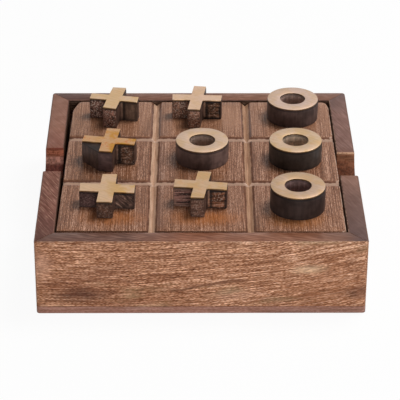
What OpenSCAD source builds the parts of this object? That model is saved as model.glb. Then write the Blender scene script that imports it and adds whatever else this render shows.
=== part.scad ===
// Tic-tac-toe and solitaire board: a mitred hardwood box with a loose reversible board in its rim,
// nine brass-topped playing pieces on the board, and the solitaire balls stored below it.
// Origin at the middle of the underside, +Z up, the front towards -Y. All sizes in millimetres.

/* [Box] */
// Width of the box across its front
box_w = 127; // [104:1:160]
// Depth of the box from front to back
box_d = 127; // [104:1:160]
// Height of the rim over the surface that the box stands on
box_h = 32; // [28:0.5:50]
// Thickness of the four walls
wall_t = 7.5; // [5:0.5:10]
// Thickness of the panel under the walls
base_t = 3; // [2:0.5:6]
// Flat worn onto the upright corners of the box
corner_ease = 1.2; // [0.4:0.1:2]
// Flat worn onto the top and bottom edges of the box
rim_ease = 0.7; // [0.2:0.1:1.2]

/* [Finger notches] */
// Radius of the round scoop through each side wall
notch_r = 10; // [8:0.5:14]
// Depth of the scoop below the rim
notch_depth = 7; // [4:0.5:8]
// Middle of the left scoop, measured backwards from the middle of the wall
notch_left_y = 2.3; // [-8:0.1:8]
// Middle of the right scoop, measured backwards from the middle of the wall
notch_right_y = -1.6; // [-8:0.1:8]

/* [Board] */
// Thickness of the board
board_t = 10; // [8:0.5:13]
// Gap between the wide front end of the board and each side wall
board_side_gap = 0.5; // [0.3:0.1:2]
// Gap before and behind the board when it lies in the middle
board_end_gap = 1; // [0.8:0.1:2]
// How much narrower the board is at its back end
board_taper = 1.6; // [0:0.1:2]
// How far the top of the board lies below the rim
board_sink = 0.3; // [0:0.1:1]
// How far the board lies behind the middle
board_y = 0.2; // [-0.2:0.1:0.3]
// Width of the V grooves at the top
groove_w = 4.2; // [2:0.1:4.5]
// Depth of the V grooves
groove_depth = 1.9; // [1:0.1:2.5]
// How much larger the middle cell was marked out than a third of the board
grid_spread = 1; // [-1:0.1:1.5]
// How far the grooves lie behind the middle of the board
grid_shift = 1.9; // [-2:0.1:2]
// Worn back left corner of the board: width and length of the cut
worn_left = [2.4, 8]; // [0.2:0.2:10]
// Worn back right corner of the board: width and length of the cut
worn_right = [1.2, 4.5]; // [0.2:0.1:10]

/* [Ledges] */
// Thickness of the strips inside the walls that carry the board
ledge_t = 4; // [3:0.5:5]

/* [Solitaire] */
// Diameter of the balls
ball_d = 10; // [8:0.5:11]
// Flat left between the outermost dimples and the ledges
dimple_margin = 4.6; // [2:0.1:8]
// Depth of each dimple in the underside of the board
dimple_depth = 2.5; // [1.5:0.1:3]
// Clearance between a ball and the round of its dimple
dimple_clearance = 0.2; // [0.1:0.1:0.5]

/* [Playing pieces] */
// Height of a piece with its brass
piece_h = 8.8; // [6:0.1:12]
// Length of a cross from arm end to arm end
cross_span = 21; // [16:0.5:23]
// Width of the arms of a cross
cross_arm = 5.5; // [4:0.5:7]
// Outer diameter of a ring
ring_d = 21.2; // [16:0.2:23]
// Diameter of the hole in a ring
ring_hole_d = 10.3; // [8:0.1:12]
// Thickness of the brass on top of each piece
brass_t = 0.6; // [0.4:0.1:1.2]
// How far the edge of the brass stands back from the wood
brass_inset = 0.15; // [0.1:0.05:0.5]

/* [Hidden] */
$fn = 96;

// Each cross as it was cut and set down by hand. The shifts are shares of the room beside it:
// [column, row, shift in x, shift in y, turn, taller by, longer by, arms wider by]
CROSSES = [
    [-1,  1,  0.27, 0.17, -10.8,  0.4, -1.0, -0.3],
    [ 0,  1, -0.22, 0.29,  -5.2,  0.1,  0.0, -0.3],
    [-1,  0,  0.14, 0.02,  -8.5,  0.5, -0.2, -0.2],
    [-1, -1,  0.17, 0.25,  -4.1, -1.4,  0.8,  0.7],
    [ 0, -1, -0.06, 0.28,  -8.0, -0.1,  0.0,  0.0]
];
// The cross whose front left corner was left uncut
webbed_cross = 2;
// Each ring as it was set down: [column, row, shift in x, shift in y, taller by]
RINGS = [
    [1,  1,  0.17,  0.22, -0.2],
    [0,  0,  0.07,  0.33, -0.5],
    [1,  0,  0.06,  0.21, -0.1],
    [1, -1, -0.11, -0.09,  0.8]
];

opening_w = box_w - 2 * wall_t;
opening_d = box_d - 2 * wall_t;
board_w = opening_w - 2 * board_side_gap;
board_d = opening_d - 2 * board_end_gap;
board_top = box_h - board_sink;
board_z = board_top - board_t;
// The board lies with its right edge along the right wall
board_turn = -atan(board_taper / 2 / board_d);
board_x = board_taper / 4;
cell_w = board_w / 3 + grid_spread;
cell_d = board_d / 3 + grid_spread;

store_w = opening_w - 2 * ledge_t;
store_d = opening_d - 2 * ledge_t;
ledge_h = board_z - base_t;

// Solitaire uses a square of seven by seven without its two by two corners
dimple_steps = [-3 : 3];
dimple_r = ball_d / 2 + dimple_clearance;
dimple_mouth = 2 * sqrt(pow(dimple_r, 2) - pow(dimple_r - dimple_depth, 2));
dimple_pitch = (min(store_w, store_d) - 2 * dimple_margin - dimple_mouth) / 6;
// The balls lie apart on the floor of the store, six by six without the four corners
ball_steps = [-2.5 : 2.5];
ball_gap = 0.3;
ball_cell_w = store_w / 6;
ball_cell_d = store_d / 6;
ball_roll = max(0, (min(ball_cell_w, ball_cell_d) - ball_d) / 2 - ball_gap);

wall_wood = [0.60, 0.43, 0.33];
board_wood = [0.56, 0.42, 0.34];
ledge_wood = [0.66, 0.52, 0.38];
dark_wood = [0.18, 0.14, 0.12];
ball_wood = [0.80, 0.64, 0.42];
brass = [0.77, 0.66, 0.50];

// Rectangle with its four corners cut off
module cut_rectangle(w, d, cut) {
    polygon([
        [-w / 2 + cut, -d / 2], [w / 2 - cut, -d / 2],
        [w / 2, -d / 2 + cut], [w / 2, d / 2 - cut],
        [w / 2 - cut, d / 2], [-w / 2 + cut, d / 2],
        [-w / 2, d / 2 - cut], [-w / 2, -d / 2 + cut]
    ]);
}

// Outer form of the closed box with every edge eased
module box_form() {
    intersection() {
        linear_extrude(box_h)
            cut_rectangle(box_w, box_d, corner_ease);
        translate([0, box_d / 2, box_h / 2])
            rotate([90, 0, 0])
                linear_extrude(box_d)
                    cut_rectangle(box_w, box_h, rim_ease);
        translate([-box_w / 2, 0, box_h / 2])
            rotate([90, 0, 90])
                linear_extrude(box_w)
                    cut_rectangle(box_d, box_h, rim_ease);
    }
}

// Mitred wall along a side of the given length, drawn as the front wall
module mitred_wall(length, away) {
    translate([0, 0, base_t])
        linear_extrude(box_h - base_t)
            polygon([
                [-length / 2, -away], [length / 2, -away],
                [length / 2 - wall_t, wall_t - away], [-length / 2 + wall_t, wall_t - away]
            ]);
}

// Round scoop through a side wall, which stands on the side of the given sign
module scoop(side, y) {
    translate([side * (box_w - wall_t) / 2, y, box_h - notch_depth + notch_r])
        rotate([0, 90, 0])
            cylinder(r = notch_r, h = 2 * wall_t, center = true);
}

module wall_front() {
    color(wall_wood)
        intersection() {
            mitred_wall(box_w, box_d / 2);
            box_form();
        }
}

module wall_back() {
    color(wall_wood)
        intersection() {
            rotate([0, 0, 180])
                mitred_wall(box_w, box_d / 2);
            box_form();
        }
}

module wall_left() {
    color(wall_wood)
        difference() {
            intersection() {
                rotate([0, 0, -90])
                    mitred_wall(box_d, box_w / 2);
                box_form();
            }
            scoop(-1, notch_left_y);
        }
}

module wall_right() {
    color(wall_wood)
        difference() {
            intersection() {
                rotate([0, 0, 90])
                    mitred_wall(box_d, box_w / 2);
                box_form();
            }
            scoop(1, notch_right_y);
        }
}

module base_panel() {
    color(wall_wood)
        intersection() {
            translate([-box_w / 2, -box_d / 2, 0])
                cube([box_w, box_d, base_t]);
            box_form();
        }
}

// Ledge along the front or the back wall, over the whole width of the opening
module end_ledge(side) {
    color(ledge_wood)
        translate([-opening_w / 2, side * (opening_d - ledge_t) / 2 - ledge_t / 2, base_t])
            cube([opening_w, ledge_t, ledge_h]);
}

// Ledge along a side wall, between the front and the back ledge
module side_ledge(side) {
    color(ledge_wood)
        translate([side * (opening_w - ledge_t) / 2 - ledge_t / 2, -store_d / 2, base_t])
            cube([ledge_t, store_d, ledge_h]);
}

// Half of the board's width at a distance y behind its middle
function board_half(y) = (board_w - board_taper * (y / board_d + 0.5)) / 2;

module board_outline() {
    left_y = board_d / 2 - worn_left[1];
    right_y = board_d / 2 - worn_right[1];
    polygon([
        [-board_half(-board_d / 2), -board_d / 2],
        [board_half(-board_d / 2), -board_d / 2],
        [board_half(right_y), right_y],
        [board_half(board_d / 2) - worn_right[0], board_d / 2],
        [-board_half(board_d / 2) + worn_left[0], board_d / 2],
        [-board_half(left_y), left_y]
    ]);
}

// V groove along Y through the top of the board
module groove() {
    length = 2 * max(board_w, board_d);
    translate([0, length / 2, board_t])
        rotate([90, 0, 0])
            linear_extrude(length)
                polygon([
                    [0, -groove_depth], [groove_w / 2, 0], [groove_w / 2, 1],
                    [-groove_w / 2, 1], [-groove_w / 2, 0]
                ]);
}

module board() {
    color(board_wood)
        translate([board_x, board_y, board_z])
            rotate([0, 0, board_turn])
                difference() {
                    linear_extrude(board_t)
                        board_outline();
                    for (side = [-0.5, 0.5]) {
                        translate([side * cell_w, 0, 0])
                            groove();
                        translate([0, grid_shift + side * cell_d, 0])
                            rotate([0, 0, 90])
                                groove();
                    }
                    for (column = dimple_steps, row = dimple_steps)
                        if (abs(column) < 2 || abs(row) < 2)
                            translate([
                                column * dimple_pitch, row * dimple_pitch,
                                dimple_depth - dimple_r
                            ])
                                sphere(r = dimple_r);
                }
}

// Places a piece of the given width on the board, in a cell of its grid. The shares say how far
// it lies from the middle of the cell, as parts of the room between it and the groove.
module set_down(column, row, share_x, share_y, width) {
    room_x = (cell_w - groove_w - width) / 2;
    room_y = (cell_d - groove_w - width) / 2;
    translate([
        board_x + column * cell_w + share_x * room_x,
        board_y + grid_shift + row * cell_d + share_y * room_y,
        board_top
    ])
        children();
}

module cross_outline(span, arm) {
    square([span, arm], center = true);
    square([arm, span], center = true);
}

// Wood left uncut between the left and the front arm
module web_outline(span, arm) {
    polygon([[-span / 2, -arm / 2], [-arm / 2, -span / 2], [0, 0]]);
}

module cross_wood(i) {
    c = CROSSES[i];
    span = cross_span + c[6] + 2 * brass_inset;
    arm = cross_arm + c[7] + 2 * brass_inset;
    color(dark_wood)
        set_down(c[0], c[1], c[2], c[3], cross_span)
            rotate([0, 0, c[4]])
                linear_extrude(piece_h + c[5] - brass_t)
                    union() {
                        cross_outline(span, arm);
                        if (i == webbed_cross)
                            web_outline(span, arm);
                    }
}

module cross_brass(i) {
    c = CROSSES[i];
    color(brass)
        set_down(c[0], c[1], c[2], c[3], cross_span)
            rotate([0, 0, c[4]])
                translate([0, 0, piece_h + c[5] - brass_t])
                    linear_extrude(brass_t)
                        cross_outline(cross_span + c[6], cross_arm + c[7]);
}

module ring_outline(outer_d, hole_d) {
    difference() {
        circle(d = outer_d);
        circle(d = hole_d);
    }
}

module ring_wood(i) {
    r = RINGS[i];
    color(dark_wood)
        set_down(r[0], r[1], r[2], r[3], ring_d)
            linear_extrude(piece_h + r[4] - brass_t)
                ring_outline(ring_d, ring_hole_d);
}

module ring_brass(i) {
    r = RINGS[i];
    color(brass)
        set_down(r[0], r[1], r[2], r[3], ring_d)
            translate([0, 0, piece_h + r[4] - brass_t])
                linear_extrude(brass_t)
                    ring_outline(ring_d - 2 * brass_inset, ring_hole_d + 2 * brass_inset);
}

module solitaire_balls() {
    color(ball_wood)
        for (column = ball_steps, row = ball_steps)
            if (abs(column) < 2.5 || abs(row) < 2.5) {
                roll = rands(-ball_roll, ball_roll, 2, 10 * column + row);
                translate([
                    column * ball_cell_w + roll[0], row * ball_cell_d + roll[1],
                    base_t + ball_gap + ball_d / 2
                ])
                    sphere(d = ball_d);
            }
}

wall_front();
wall_back();
wall_left();
wall_right();
base_panel();
end_ledge(-1);  // ledge_front
end_ledge(1);  // ledge_back
side_ledge(-1);  // ledge_left
side_ledge(1);  // ledge_right
board();
for (i = [0 : len(CROSSES) - 1]) {
    cross_wood(i);
    cross_brass(i);
}
for (i = [0 : len(RINGS) - 1]) {
    ring_wood(i);
    ring_brass(i);
}
solitaire_balls();
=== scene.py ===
import bpy
import bmesh
import math
from mathutils import Matrix, Vector, noise


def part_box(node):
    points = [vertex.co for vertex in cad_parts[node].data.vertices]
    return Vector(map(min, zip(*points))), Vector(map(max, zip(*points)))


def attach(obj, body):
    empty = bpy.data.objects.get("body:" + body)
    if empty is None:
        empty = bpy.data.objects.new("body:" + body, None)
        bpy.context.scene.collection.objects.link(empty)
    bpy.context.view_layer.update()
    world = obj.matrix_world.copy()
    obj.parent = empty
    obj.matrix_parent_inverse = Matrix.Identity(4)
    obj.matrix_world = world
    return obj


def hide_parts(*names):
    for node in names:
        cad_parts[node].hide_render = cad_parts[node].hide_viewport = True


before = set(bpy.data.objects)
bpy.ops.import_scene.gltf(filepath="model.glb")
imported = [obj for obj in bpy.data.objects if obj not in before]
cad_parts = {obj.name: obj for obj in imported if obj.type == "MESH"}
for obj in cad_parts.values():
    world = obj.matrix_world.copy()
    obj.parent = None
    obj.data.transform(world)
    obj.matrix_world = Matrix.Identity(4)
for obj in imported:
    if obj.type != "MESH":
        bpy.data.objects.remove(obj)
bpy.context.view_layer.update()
mm = 0.001  # pieces are modelled in millimetres and scaled once, when they are finished
print("frame loaded:", len(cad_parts), "CAD nodes")


def srgb(red, green, blue):
    # a colour written as 0-255 values, turned into the linear values that shaders take
    def linear(c):
        c /= 255
        return c / 12.92 if c <= 0.04045 else ((c + 0.055) / 1.055) ** 2.4
    return (linear(red), linear(green), linear(blue), 1.0)


def tonesOf(**colours):
    return {name: srgb(*colour) for name, colour in colours.items()}


# Modelling helpers, all in millimetres

def cut(bm, point, normal, faces=None, drop=False):
    # slices the mesh; drop takes away the side the normal points to and closes the hole
    faces = bm.faces[:] if faces is None else faces
    edges = list({e for f in faces for e in f.edges})
    verts = list({v for f in faces for v in f.verts})
    made = bmesh.ops.bisect_plane(bm, geom=verts + edges + faces, dist=1e-4, plane_co=point, plane_no=normal,
                                  clear_outer=drop)
    if drop:
        rim = [e for e in made["geom_cut"] if isinstance(e, bmesh.types.BMEdge)]
        bmesh.ops.contextual_create(bm, geom=rim)


def sliceUp(bm, axis, step, faces=None):
    # evenly spaced cuts across one axis, so that wear has something to move
    low = min(v.co[axis] for v in bm.verts)
    high = max(v.co[axis] for v in bm.verts)
    count = max(1, round((high - low) / step))
    normal = Vector((0, 0, 0))
    normal[axis] = 1
    for i in range(1, count):
        at = Vector((0, 0, 0))
        at[axis] = low + (high - low) * i / count
        cut(bm, at, normal, [f for f in bm.faces if faces is None or faces(f)])


def roundEdges(bm, test, radius, segments=3):
    edges = [e for e in bm.edges if test(*[v.co for v in e.verts])]
    bmesh.ops.bevel(bm, geom=edges, offset=radius, offset_type="OFFSET", segments=segments, profile=0.5,
                    affect="EDGES", clamp_overlap=True, material=-1)


def wear(bm, depth, patch, seed):
    # hand sanding: every point sinks a little, the arrises up to four times more than the flats
    bm.normal_update()
    shift = Vector((seed * 17.3, seed * 5.1, seed * 9.7))
    for v in bm.verts:
        sharpness = (1 - max(abs(c) for c in v.normal)) / 0.293
        share = 0.25 + 0.75 * min(1, max(0, sharpness))
        v.co -= v.normal * depth * share * (0.5 + 0.5 * noise.noise(v.co / patch + shift))


def near(a, b, slack=0.01):
    return abs(a - b) < slack


def upright(p, q):
    return near(p.x, q.x) and near(p.y, q.y) and not near(p.z, q.z)


def atLevel(height):
    # a test for edges that lie level at a height
    return lambda p, q: near(p.z, height) and near(q.z, height)


def vertsOf(geom):
    return [v for v in geom if isinstance(v, bmesh.types.BMVert)]


def block(width, depth, height):
    bm = bmesh.new()
    bmesh.ops.create_cube(bm, size=1)
    bmesh.ops.scale(bm, vec=(width, depth, height), verts=bm.verts)
    return bm


def move(bm, x, y, z, verts=None):
    bmesh.ops.translate(bm, vec=(x, y, z), verts=bm.verts if verts is None else verts)


def spinRound(bm, steps):
    bmesh.ops.spin(bm, geom=bm.verts[:] + bm.edges[:], cent=(0, 0, 0), axis=(0, 0, 1), angle=math.tau,
                   steps=steps, use_merge=True)


def setDown(bm, turn, x=0, y=0):
    # turns a shape about the upright axis, then moves it to its place
    bmesh.ops.rotate(bm, cent=(0, 0, 0), matrix=Matrix.Rotation(math.radians(turn), 3, "Z"), verts=bm.verts)
    move(bm, x, y, 0)


def meshOf(name, bm):
    mesh = bpy.data.meshes.new(name)
    bm.to_mesh(mesh)
    bm.free()
    return mesh


def place(name, data):
    made = bpy.data.objects.new(name, data)
    bpy.context.scene.collection.objects.link(made)
    return made


def finish(name, bm, body, materials):
    # turns the bmesh into a piece in metres that rides on its body and stands for the CAD node of its name
    bmesh.ops.remove_doubles(bm, verts=bm.verts, dist=1e-3)
    bmesh.ops.recalc_face_normals(bm, faces=bm.faces)
    bmesh.ops.scale(bm, vec=(mm, mm, mm), verts=bm.verts)
    mesh = meshOf(name, bm)
    mesh.polygons.foreach_set("use_smooth", [True] * len(mesh.polygons))
    mesh.set_sharp_from_angle(angle=math.radians(32))
    for material in materials:
        mesh.materials.append(material)
    piece = place(name, mesh)
    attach(piece, body)
    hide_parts(name)


# Material helpers

class Recipe:
    # the node tree of a material or a world, with a short call for each kind of node
    def __init__(self, name, kind="materials"):
        self.block = getattr(bpy.data, kind).new(name)
        self.block.use_nodes = True
        self.tree = self.block.node_tree
        self.tree.nodes.clear()

    def node(self, kind, inputs=None, **settings):
        made = self.tree.nodes.new(kind)
        for key, value in settings.items():
            setattr(made, key, value)
        for key, value in (inputs or {}).items():
            if isinstance(value, bpy.types.NodeSocket):
                self.tree.links.new(value, made.inputs[key])
            else:
                made.inputs[key].default_value = value
        return made

    def math(self, operation, *values):
        return self.node("ShaderNodeMath", dict(enumerate(values)), operation=operation).outputs[0]

    def vector(self, operation, *values):
        return self.node("ShaderNodeVectorMath", dict(enumerate(values)), operation=operation).outputs[0]

    def plus(self, first, second):
        return self.math("ADD", first, second)

    def minus(self, first, second):
        return self.math("SUBTRACT", first, second)

    def times(self, first, second):
        return self.math("MULTIPLY", first, second)

    def scaled(self, value, factor, offset):
        return self.math("MULTIPLY_ADD", value, factor, offset)

    def facing(self, direction):
        # 1 where the surface faces a direction, 0 where it lies along it
        normal = self.node("ShaderNodeNewGeometry").outputs["Normal"]
        made = self.node("ShaderNodeVectorMath", {0: normal, 1: direction}, operation="DOT_PRODUCT")
        return made.outputs["Value"]

    def parts(self, vector):
        return self.node("ShaderNodeSeparateXYZ", {0: vector}).outputs

    def join(self, x, y, z):
        return self.node("ShaderNodeCombineXYZ", {0: x, 1: y, 2: z}).outputs[0]

    def millimetres(self, turn=(0, 0, 0), shift=(0, 0, 0)):
        # object space in millimetres, turned so that the grain runs along X
        place = self.node("ShaderNodeTexCoord").outputs["Object"]
        scaled = self.vector("MULTIPLY", place, (1 / mm, 1 / mm, 1 / mm))
        return self.mapped(scaled, Rotation=turn, Location=shift)

    def mapped(self, vector, **settings):
        return self.node("ShaderNodeMapping", {"Vector": vector, **settings}).outputs[0]

    def noise(self, vector, stretch, detail=2.0, roughness=0.5, shift=(0, 0, 0), output="Fac"):
        moved = self.mapped(vector, Scale=stretch, Location=shift)
        return self.node("ShaderNodeTexNoise", {"Vector": moved, "Scale": 1.0, "Detail": detail,
                                                "Roughness": roughness}).outputs[output]

    def between(self, value, low, high, outLow=0.0, outHigh=1.0):
        return self.node("ShaderNodeMapRange", {0: value, 1: low, 2: high, 3: outLow, 4: outHigh},
                         interpolation_type="SMOOTHSTEP").outputs[0]

    def ramp(self, value, low, high, stops):
        # colours at named places between low and high, blended into each other
        share = self.node("ShaderNodeMapRange", {0: value, 1: low, 2: high}).outputs[0]
        made = self.node("ShaderNodeValToRGB", {0: share})
        elements = made.color_ramp.elements
        while len(elements) < len(stops):
            elements.new(1.0)
        for element, (place, colour) in zip(elements, stops):
            element.position = (place - low) / (high - low)
            element.color = srgb(*colour)
        return made.outputs[0]

    def patch(self, u, v, centre, reach, slope=0.0):
        # 1 in the middle of a soft oval patch, 0 outside it
        du = self.minus(u, centre[0])
        dv = self.minus(self.minus(v, centre[1]), self.times(du, slope))
        du = self.math("DIVIDE", du, reach[0])
        dv = self.math("DIVIDE", dv, reach[1])
        distance = self.math("SQRT", self.scaled(du, du, self.times(dv, dv)))
        return self.between(distance, 1.0, 0.15)

    def mix(self, share, first, second):
        return self.node("ShaderNodeMix", {0: share, 6: first, 7: second}, data_type="RGBA").outputs[2]

    def tint(self, colour, amount):
        # brightens or darkens a colour by a value around 1
        return self.vector("MULTIPLY", colour, self.join(amount, amount, amount))

    def stain(self, colour, amount):
        # as tint, but wood that is darker is also redder
        green, blue = (self.math("POWER", amount, power) for power in (1.35, 1.7))
        return self.vector("MULTIPLY", colour, self.join(amount, green, blue))

    def shade(self, colour, roughness, height, depth, strength, specular=0.5, metallic=0.0):
        # depth is the bump's, in metres
        bump = self.node("ShaderNodeBump", {"Height": height, "Distance": depth, "Strength": strength})
        shader = self.node("ShaderNodeBsdfPrincipled", {
            "Base Color": colour, "Roughness": roughness, "Normal": bump.outputs[0],
            "Specular IOR Level": specular, "Metallic": metallic})
        return self.surface(shader, "ShaderNodeOutputMaterial")

    def surface(self, shader, outputKind):
        self.node(outputKind, {"Surface": shader.outputs[0]})
        return self.block


# Wood: open-pored hardwood for the box, the board, the ledges and the balls

woodGrain = {
    # noise cells per millimetre, along the grain and across it
    "tone": (0.009, 0.09), "bands": (0.014, 0.3), "streaks": (0.022, 1.5), "lines": (0.03, 3.6),
    "fibres": (0.9, 5.0), "pores": (0.2, 4.2), "flecks": (0.9, 4.8), "crowding": (0.03, 0.2),
    # how far each one swings the tone, and how much of their own colour pores and flecks have
    "swing": {"bands": 0.05, "streaks": 0.13, "lines": 0.5, "fibres": 0.54},
    "poreShare": 0.45, "fleckShare": 0.2,
}


def grainOf(r, turn, shift, climb=0.0, drift=6.0):
    # millimetres with the grain along X, drifting slowly and climbing towards one end
    straight = r.millimetres(turn, shift)
    wander = r.noise(straight, (0.012, 0.03, 0.03), 1.0, output="Color")
    offset = r.vector("MULTIPLY", r.vector("SUBTRACT", wander, (0.5, 0.5, 0.5)), (0, drift, drift))
    x, y, z = r.parts(r.vector("ADD", straight, offset))
    if climb:
        run = r.math("MAXIMUM", r.plus(x, 45.0), 0.0)
        z = r.minus(z, r.times(r.times(run, run), climb))
    return r.join(x, y, z)


def fibresOf(r, grain, tones, contrast, seed):
    # slow tone, growth bands, long lines and fibres, then short dark pores and pale flecks
    def field(name, detail, place):
        along, across = woodGrain[name]
        return r.noise(grain, (along, across, across), detail, 0.6, shift=place)
    tone = field("tone", 2.0, (seed, 0, 0))
    fibres = field("fibres", 0.0, (0, 0, seed))
    fields = {"bands": field("bands", 3.0, (0, seed, 0)), "streaks": field("streaks", 1.0, (seed, 3, 0)),
              "lines": field("lines", 0.0, (seed, 0, 3)), "fibres": fibres}
    crowding = r.scaled(field("crowding", 1.0, (seed, seed, 0)), 0.2, -0.1)
    pores = r.between(r.plus(field("pores", 0.0, (3, seed, 7)), crowding), 0.54, 0.6)
    flecks = r.between(field("flecks", 0.0, (11, 5, seed)), 0.55, 0.62)
    colour = r.mix(r.between(tone, 0.3, 0.5), tones["dark"], tones["mid"])
    colour = r.mix(r.between(tone, 0.5, 0.72), colour, tones["light"])
    for name, value in fields.items():
        swing = woodGrain["swing"][name] * contrast
        colour = r.stain(colour, r.between(value, 0.3, 0.7, 1 - swing, 1 + swing))
    colour = r.mix(r.times(flecks, woodGrain["fleckShare"] * contrast), colour, tones["fleck"])
    colour = r.mix(r.times(pores, woodGrain["poreShare"] * contrast), colour, tones["pore"])
    height = r.minus(r.times(fibres, 0.5), r.times(pores, 0.7))
    return colour, height


def softPatch(r, colour, height, share, tone):
    # a stained place, or a place of painted shadow or painted reflection, in which the fibres still show
    return r.mix(share, colour, r.tint(srgb(*tone)[:3], r.between(height, -0.3, 0.35, 0.7, 1.35)))


def woodShade(r, colour, height, rough, smooth, depth, strength, specular):
    # rough in the pores, smoother on the fibres
    return r.shade(colour, r.between(height, -0.8, 0.4, rough, smooth), height, depth, strength, specular)


def plainWood(name, look, seed, turn=(0, 0, 0), shift=(0, 0, 0)):
    # wood with nothing on it but its grain
    r = Recipe(name)
    grain = grainOf(r, turn, shift, drift=look["drift"])
    colour, height = fibresOf(r, grain, look["tones"], look["contrast"], seed)
    return woodShade(r, colour, height, **look["shade"])


# The box: four mitred walls and the panel under them

boxSizes = {
    "width": 127, "depth": 127, "height": 32, "wall": 7.5, "panel": 3,
    "cornerRound": 1.3, "arris": 0.55, "footArris": 0.15, "jointGap": 0.03,
    "notchRadius": 10, "notchDepth": 7, "notchLeft": 2.3, "notchRight": -1.6, "notchSteps": 24,
    "wear": (0.2, 7), "slice": 4, "panelArris": 0.12, "panelWear": (0.06, 8), "panelSlice": 5,
}

boxTones = tonesOf(
    dark=(150, 99, 69), mid=(167, 116, 84), light=(179, 130, 98), pore=(88, 42, 20), fleck=(204, 164, 136),
    olive=(142, 120, 88), rimScratch=(158, 116, 94), arris=(182, 146, 124))

wallLooks = {
    # rim: its tones from one end of the wall to the other; slant, scratched: its scratches; gloss: its shine;
    # calm: where they stop; worn, innerWorn: how pale the arrises are; edge: the arrises' own tone;
    # patches: middle, reach, slope, share and tone of places on the outer face;
    # end: the scoop's end grain from top to bottom, darker at the foot as painted shade and, on the left
    # scoop, lighter in the middle as a painted sheen; lip: its upper edge
    "wall_front": dict(
        rim=((-63, (96, 62, 50)), (-28, (100, 64, 50)), (-8, (137, 84, 58)), (40, (132, 84, 60)),
             (55, (116, 76, 58)), (63, (84, 56, 50))),
        slant=-14, scratched=0.45, worn=0.45, innerWorn=0.3, gloss=0.27,
        patches=(
            ((-46, 8.5), (17, 5), 0.04, 0.75, (74, 40, 28)), ((-42, 17), (24, 6), 0.2, 0.4, (104, 62, 44)),
            ((2, 12.6), (26, 1.1), 0.15, 0.8, (92, 56, 38)), ((61, 9.5), (11, 4), 0.1, 0.75, (80, 44, 30)),
            # painted shade: the broad patch at (50, 13) darkens the right part of the face against the
            # stronger lamp light there
            ((-17, 10.5), (7, 3), 0.1, 0.5, (110, 76, 50)), ((50, 13), (26, 22), 0.0, 0.3, (134, 86, 58)),
            ((38, 7.5), (26, 1.6), 0.1, 0.4, (112, 70, 50)),
            ((41, 19.5), (10, 2.2), 0.08, 0.5, (196, 166, 134)),
            ((12, 8), (15, 4), 0.1, 0.2, (198, 158, 134)), ((-61, 21), (6, 9), 0.0, 0.45, (190, 146, 122)),
            ((-10, 6), (26, 5), 0.0, 0.25, (124, 80, 52)), ((46, 8), (18, 6), 0.0, 0.3, (120, 76, 48)))),
    "wall_back": dict(
        rim=((-63, (118, 80, 66)), (-35, (140, 98, 78)), (0, (124, 80, 60)), (30, (116, 78, 62)),
             (45, (94, 62, 53)), (63, (88, 58, 52))),
        slant=8, scratched=0.3, worn=0.15, innerWorn=0.2, gloss=0.16, edge=(104, 68, 56)),
    "wall_left": dict(
        rim=((-63, (136, 95, 78)), (-30, (144, 97, 78)), (-14, (132, 83, 68)), (-8, (118, 70, 59)),
             (9, (124, 77, 61)), (36, (125, 77, 62)), (50, (104, 61, 49)), (63, (86, 49, 39))),
        slant=-62, scratched=0.7, worn=0.15, innerWorn=0.1, gloss=0.14, calm=(-16, 6),
        end=((150, 88, 66), (172, 120, 104), (98, 54, 46)), lip=(110, 56, 44), edge=(112, 74, 62)),
    "wall_right": dict(
        rim=((-63, (88, 61, 55)), (-32, (105, 71, 59)), (-12, (134, 94, 77)), (12, (116, 79, 68)),
             (45, (125, 87, 76)), (63, (84, 60, 56))),
        slant=-66, scratched=0.42, worn=0.12, innerWorn=0.8, gloss=0.22, calm=(-70, 120),
        end=((122, 81, 59), (116, 73, 53), (100, 61, 44)), lip=(186, 146, 118), edge=(96, 66, 56)),
}


def boxWood(name, turn, shift, climb):
    t, w = boxTones, wallLooks[name]
    r = Recipe(name + "Wood")
    grain = grainOf(r, turn, shift, climb)
    colour, height = fibresOf(r, grain, t, 1.0, shift[0])
    olive = r.between(r.noise(grain, (0.03, 0.12, 0.12), 2.0, shift=(0, 9, 4)), 0.6, 0.74)
    colour = r.mix(r.times(olive, 0.5), colour, t["olive"])
    places = r.parts(r.millimetres(turn))
    along, up = places[0], places[2]
    wander = r.scaled(r.noise(grain, (0.05, 0.2, 0.2), 3.0, 0.6, shift=(1, 1, 1)), 6.0, -3.0)
    for middle, reach, slope, share, tone in w.get("patches", ()):
        share = r.times(r.patch(along, r.plus(up, wander), middle, reach, slope), share)
        colour = softPatch(r, colour, height, share, tone)
    facingUp = r.facing((0, 0, 1))
    if "edge" in w:
        colour = r.mix(r.between(facingUp, 0.3, 0.5), colour, srgb(*w["edge"]))
    # the arrises are rubbed pale in places, and the inner face is darkened as painted shade
    facingIn = r.facing((math.sin(turn[2]), math.cos(turn[2]), 0))
    broken = r.between(r.noise(grain, (0.5, 1.0, 1.0), 2.0, 0.6), 0.4, 0.58)
    worn = r.times(r.between(facingUp, 0.4, 0.7), broken)
    inner = r.between(facingIn, 0.2, 0.4, w["worn"], w["innerWorn"])
    colour = r.mix(r.times(worn, inner), colour, t["arris"])
    # painted shade: the inner face is made dark so that the gap beside the board reads as shadow
    colour = r.tint(colour, r.between(facingIn, 0.6, 0.85, 1.0, 0.2))
    return woodShade(r, colour, height, rough=0.7, smooth=0.5, depth=0.00006, strength=0.6, specular=0.16)


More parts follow.
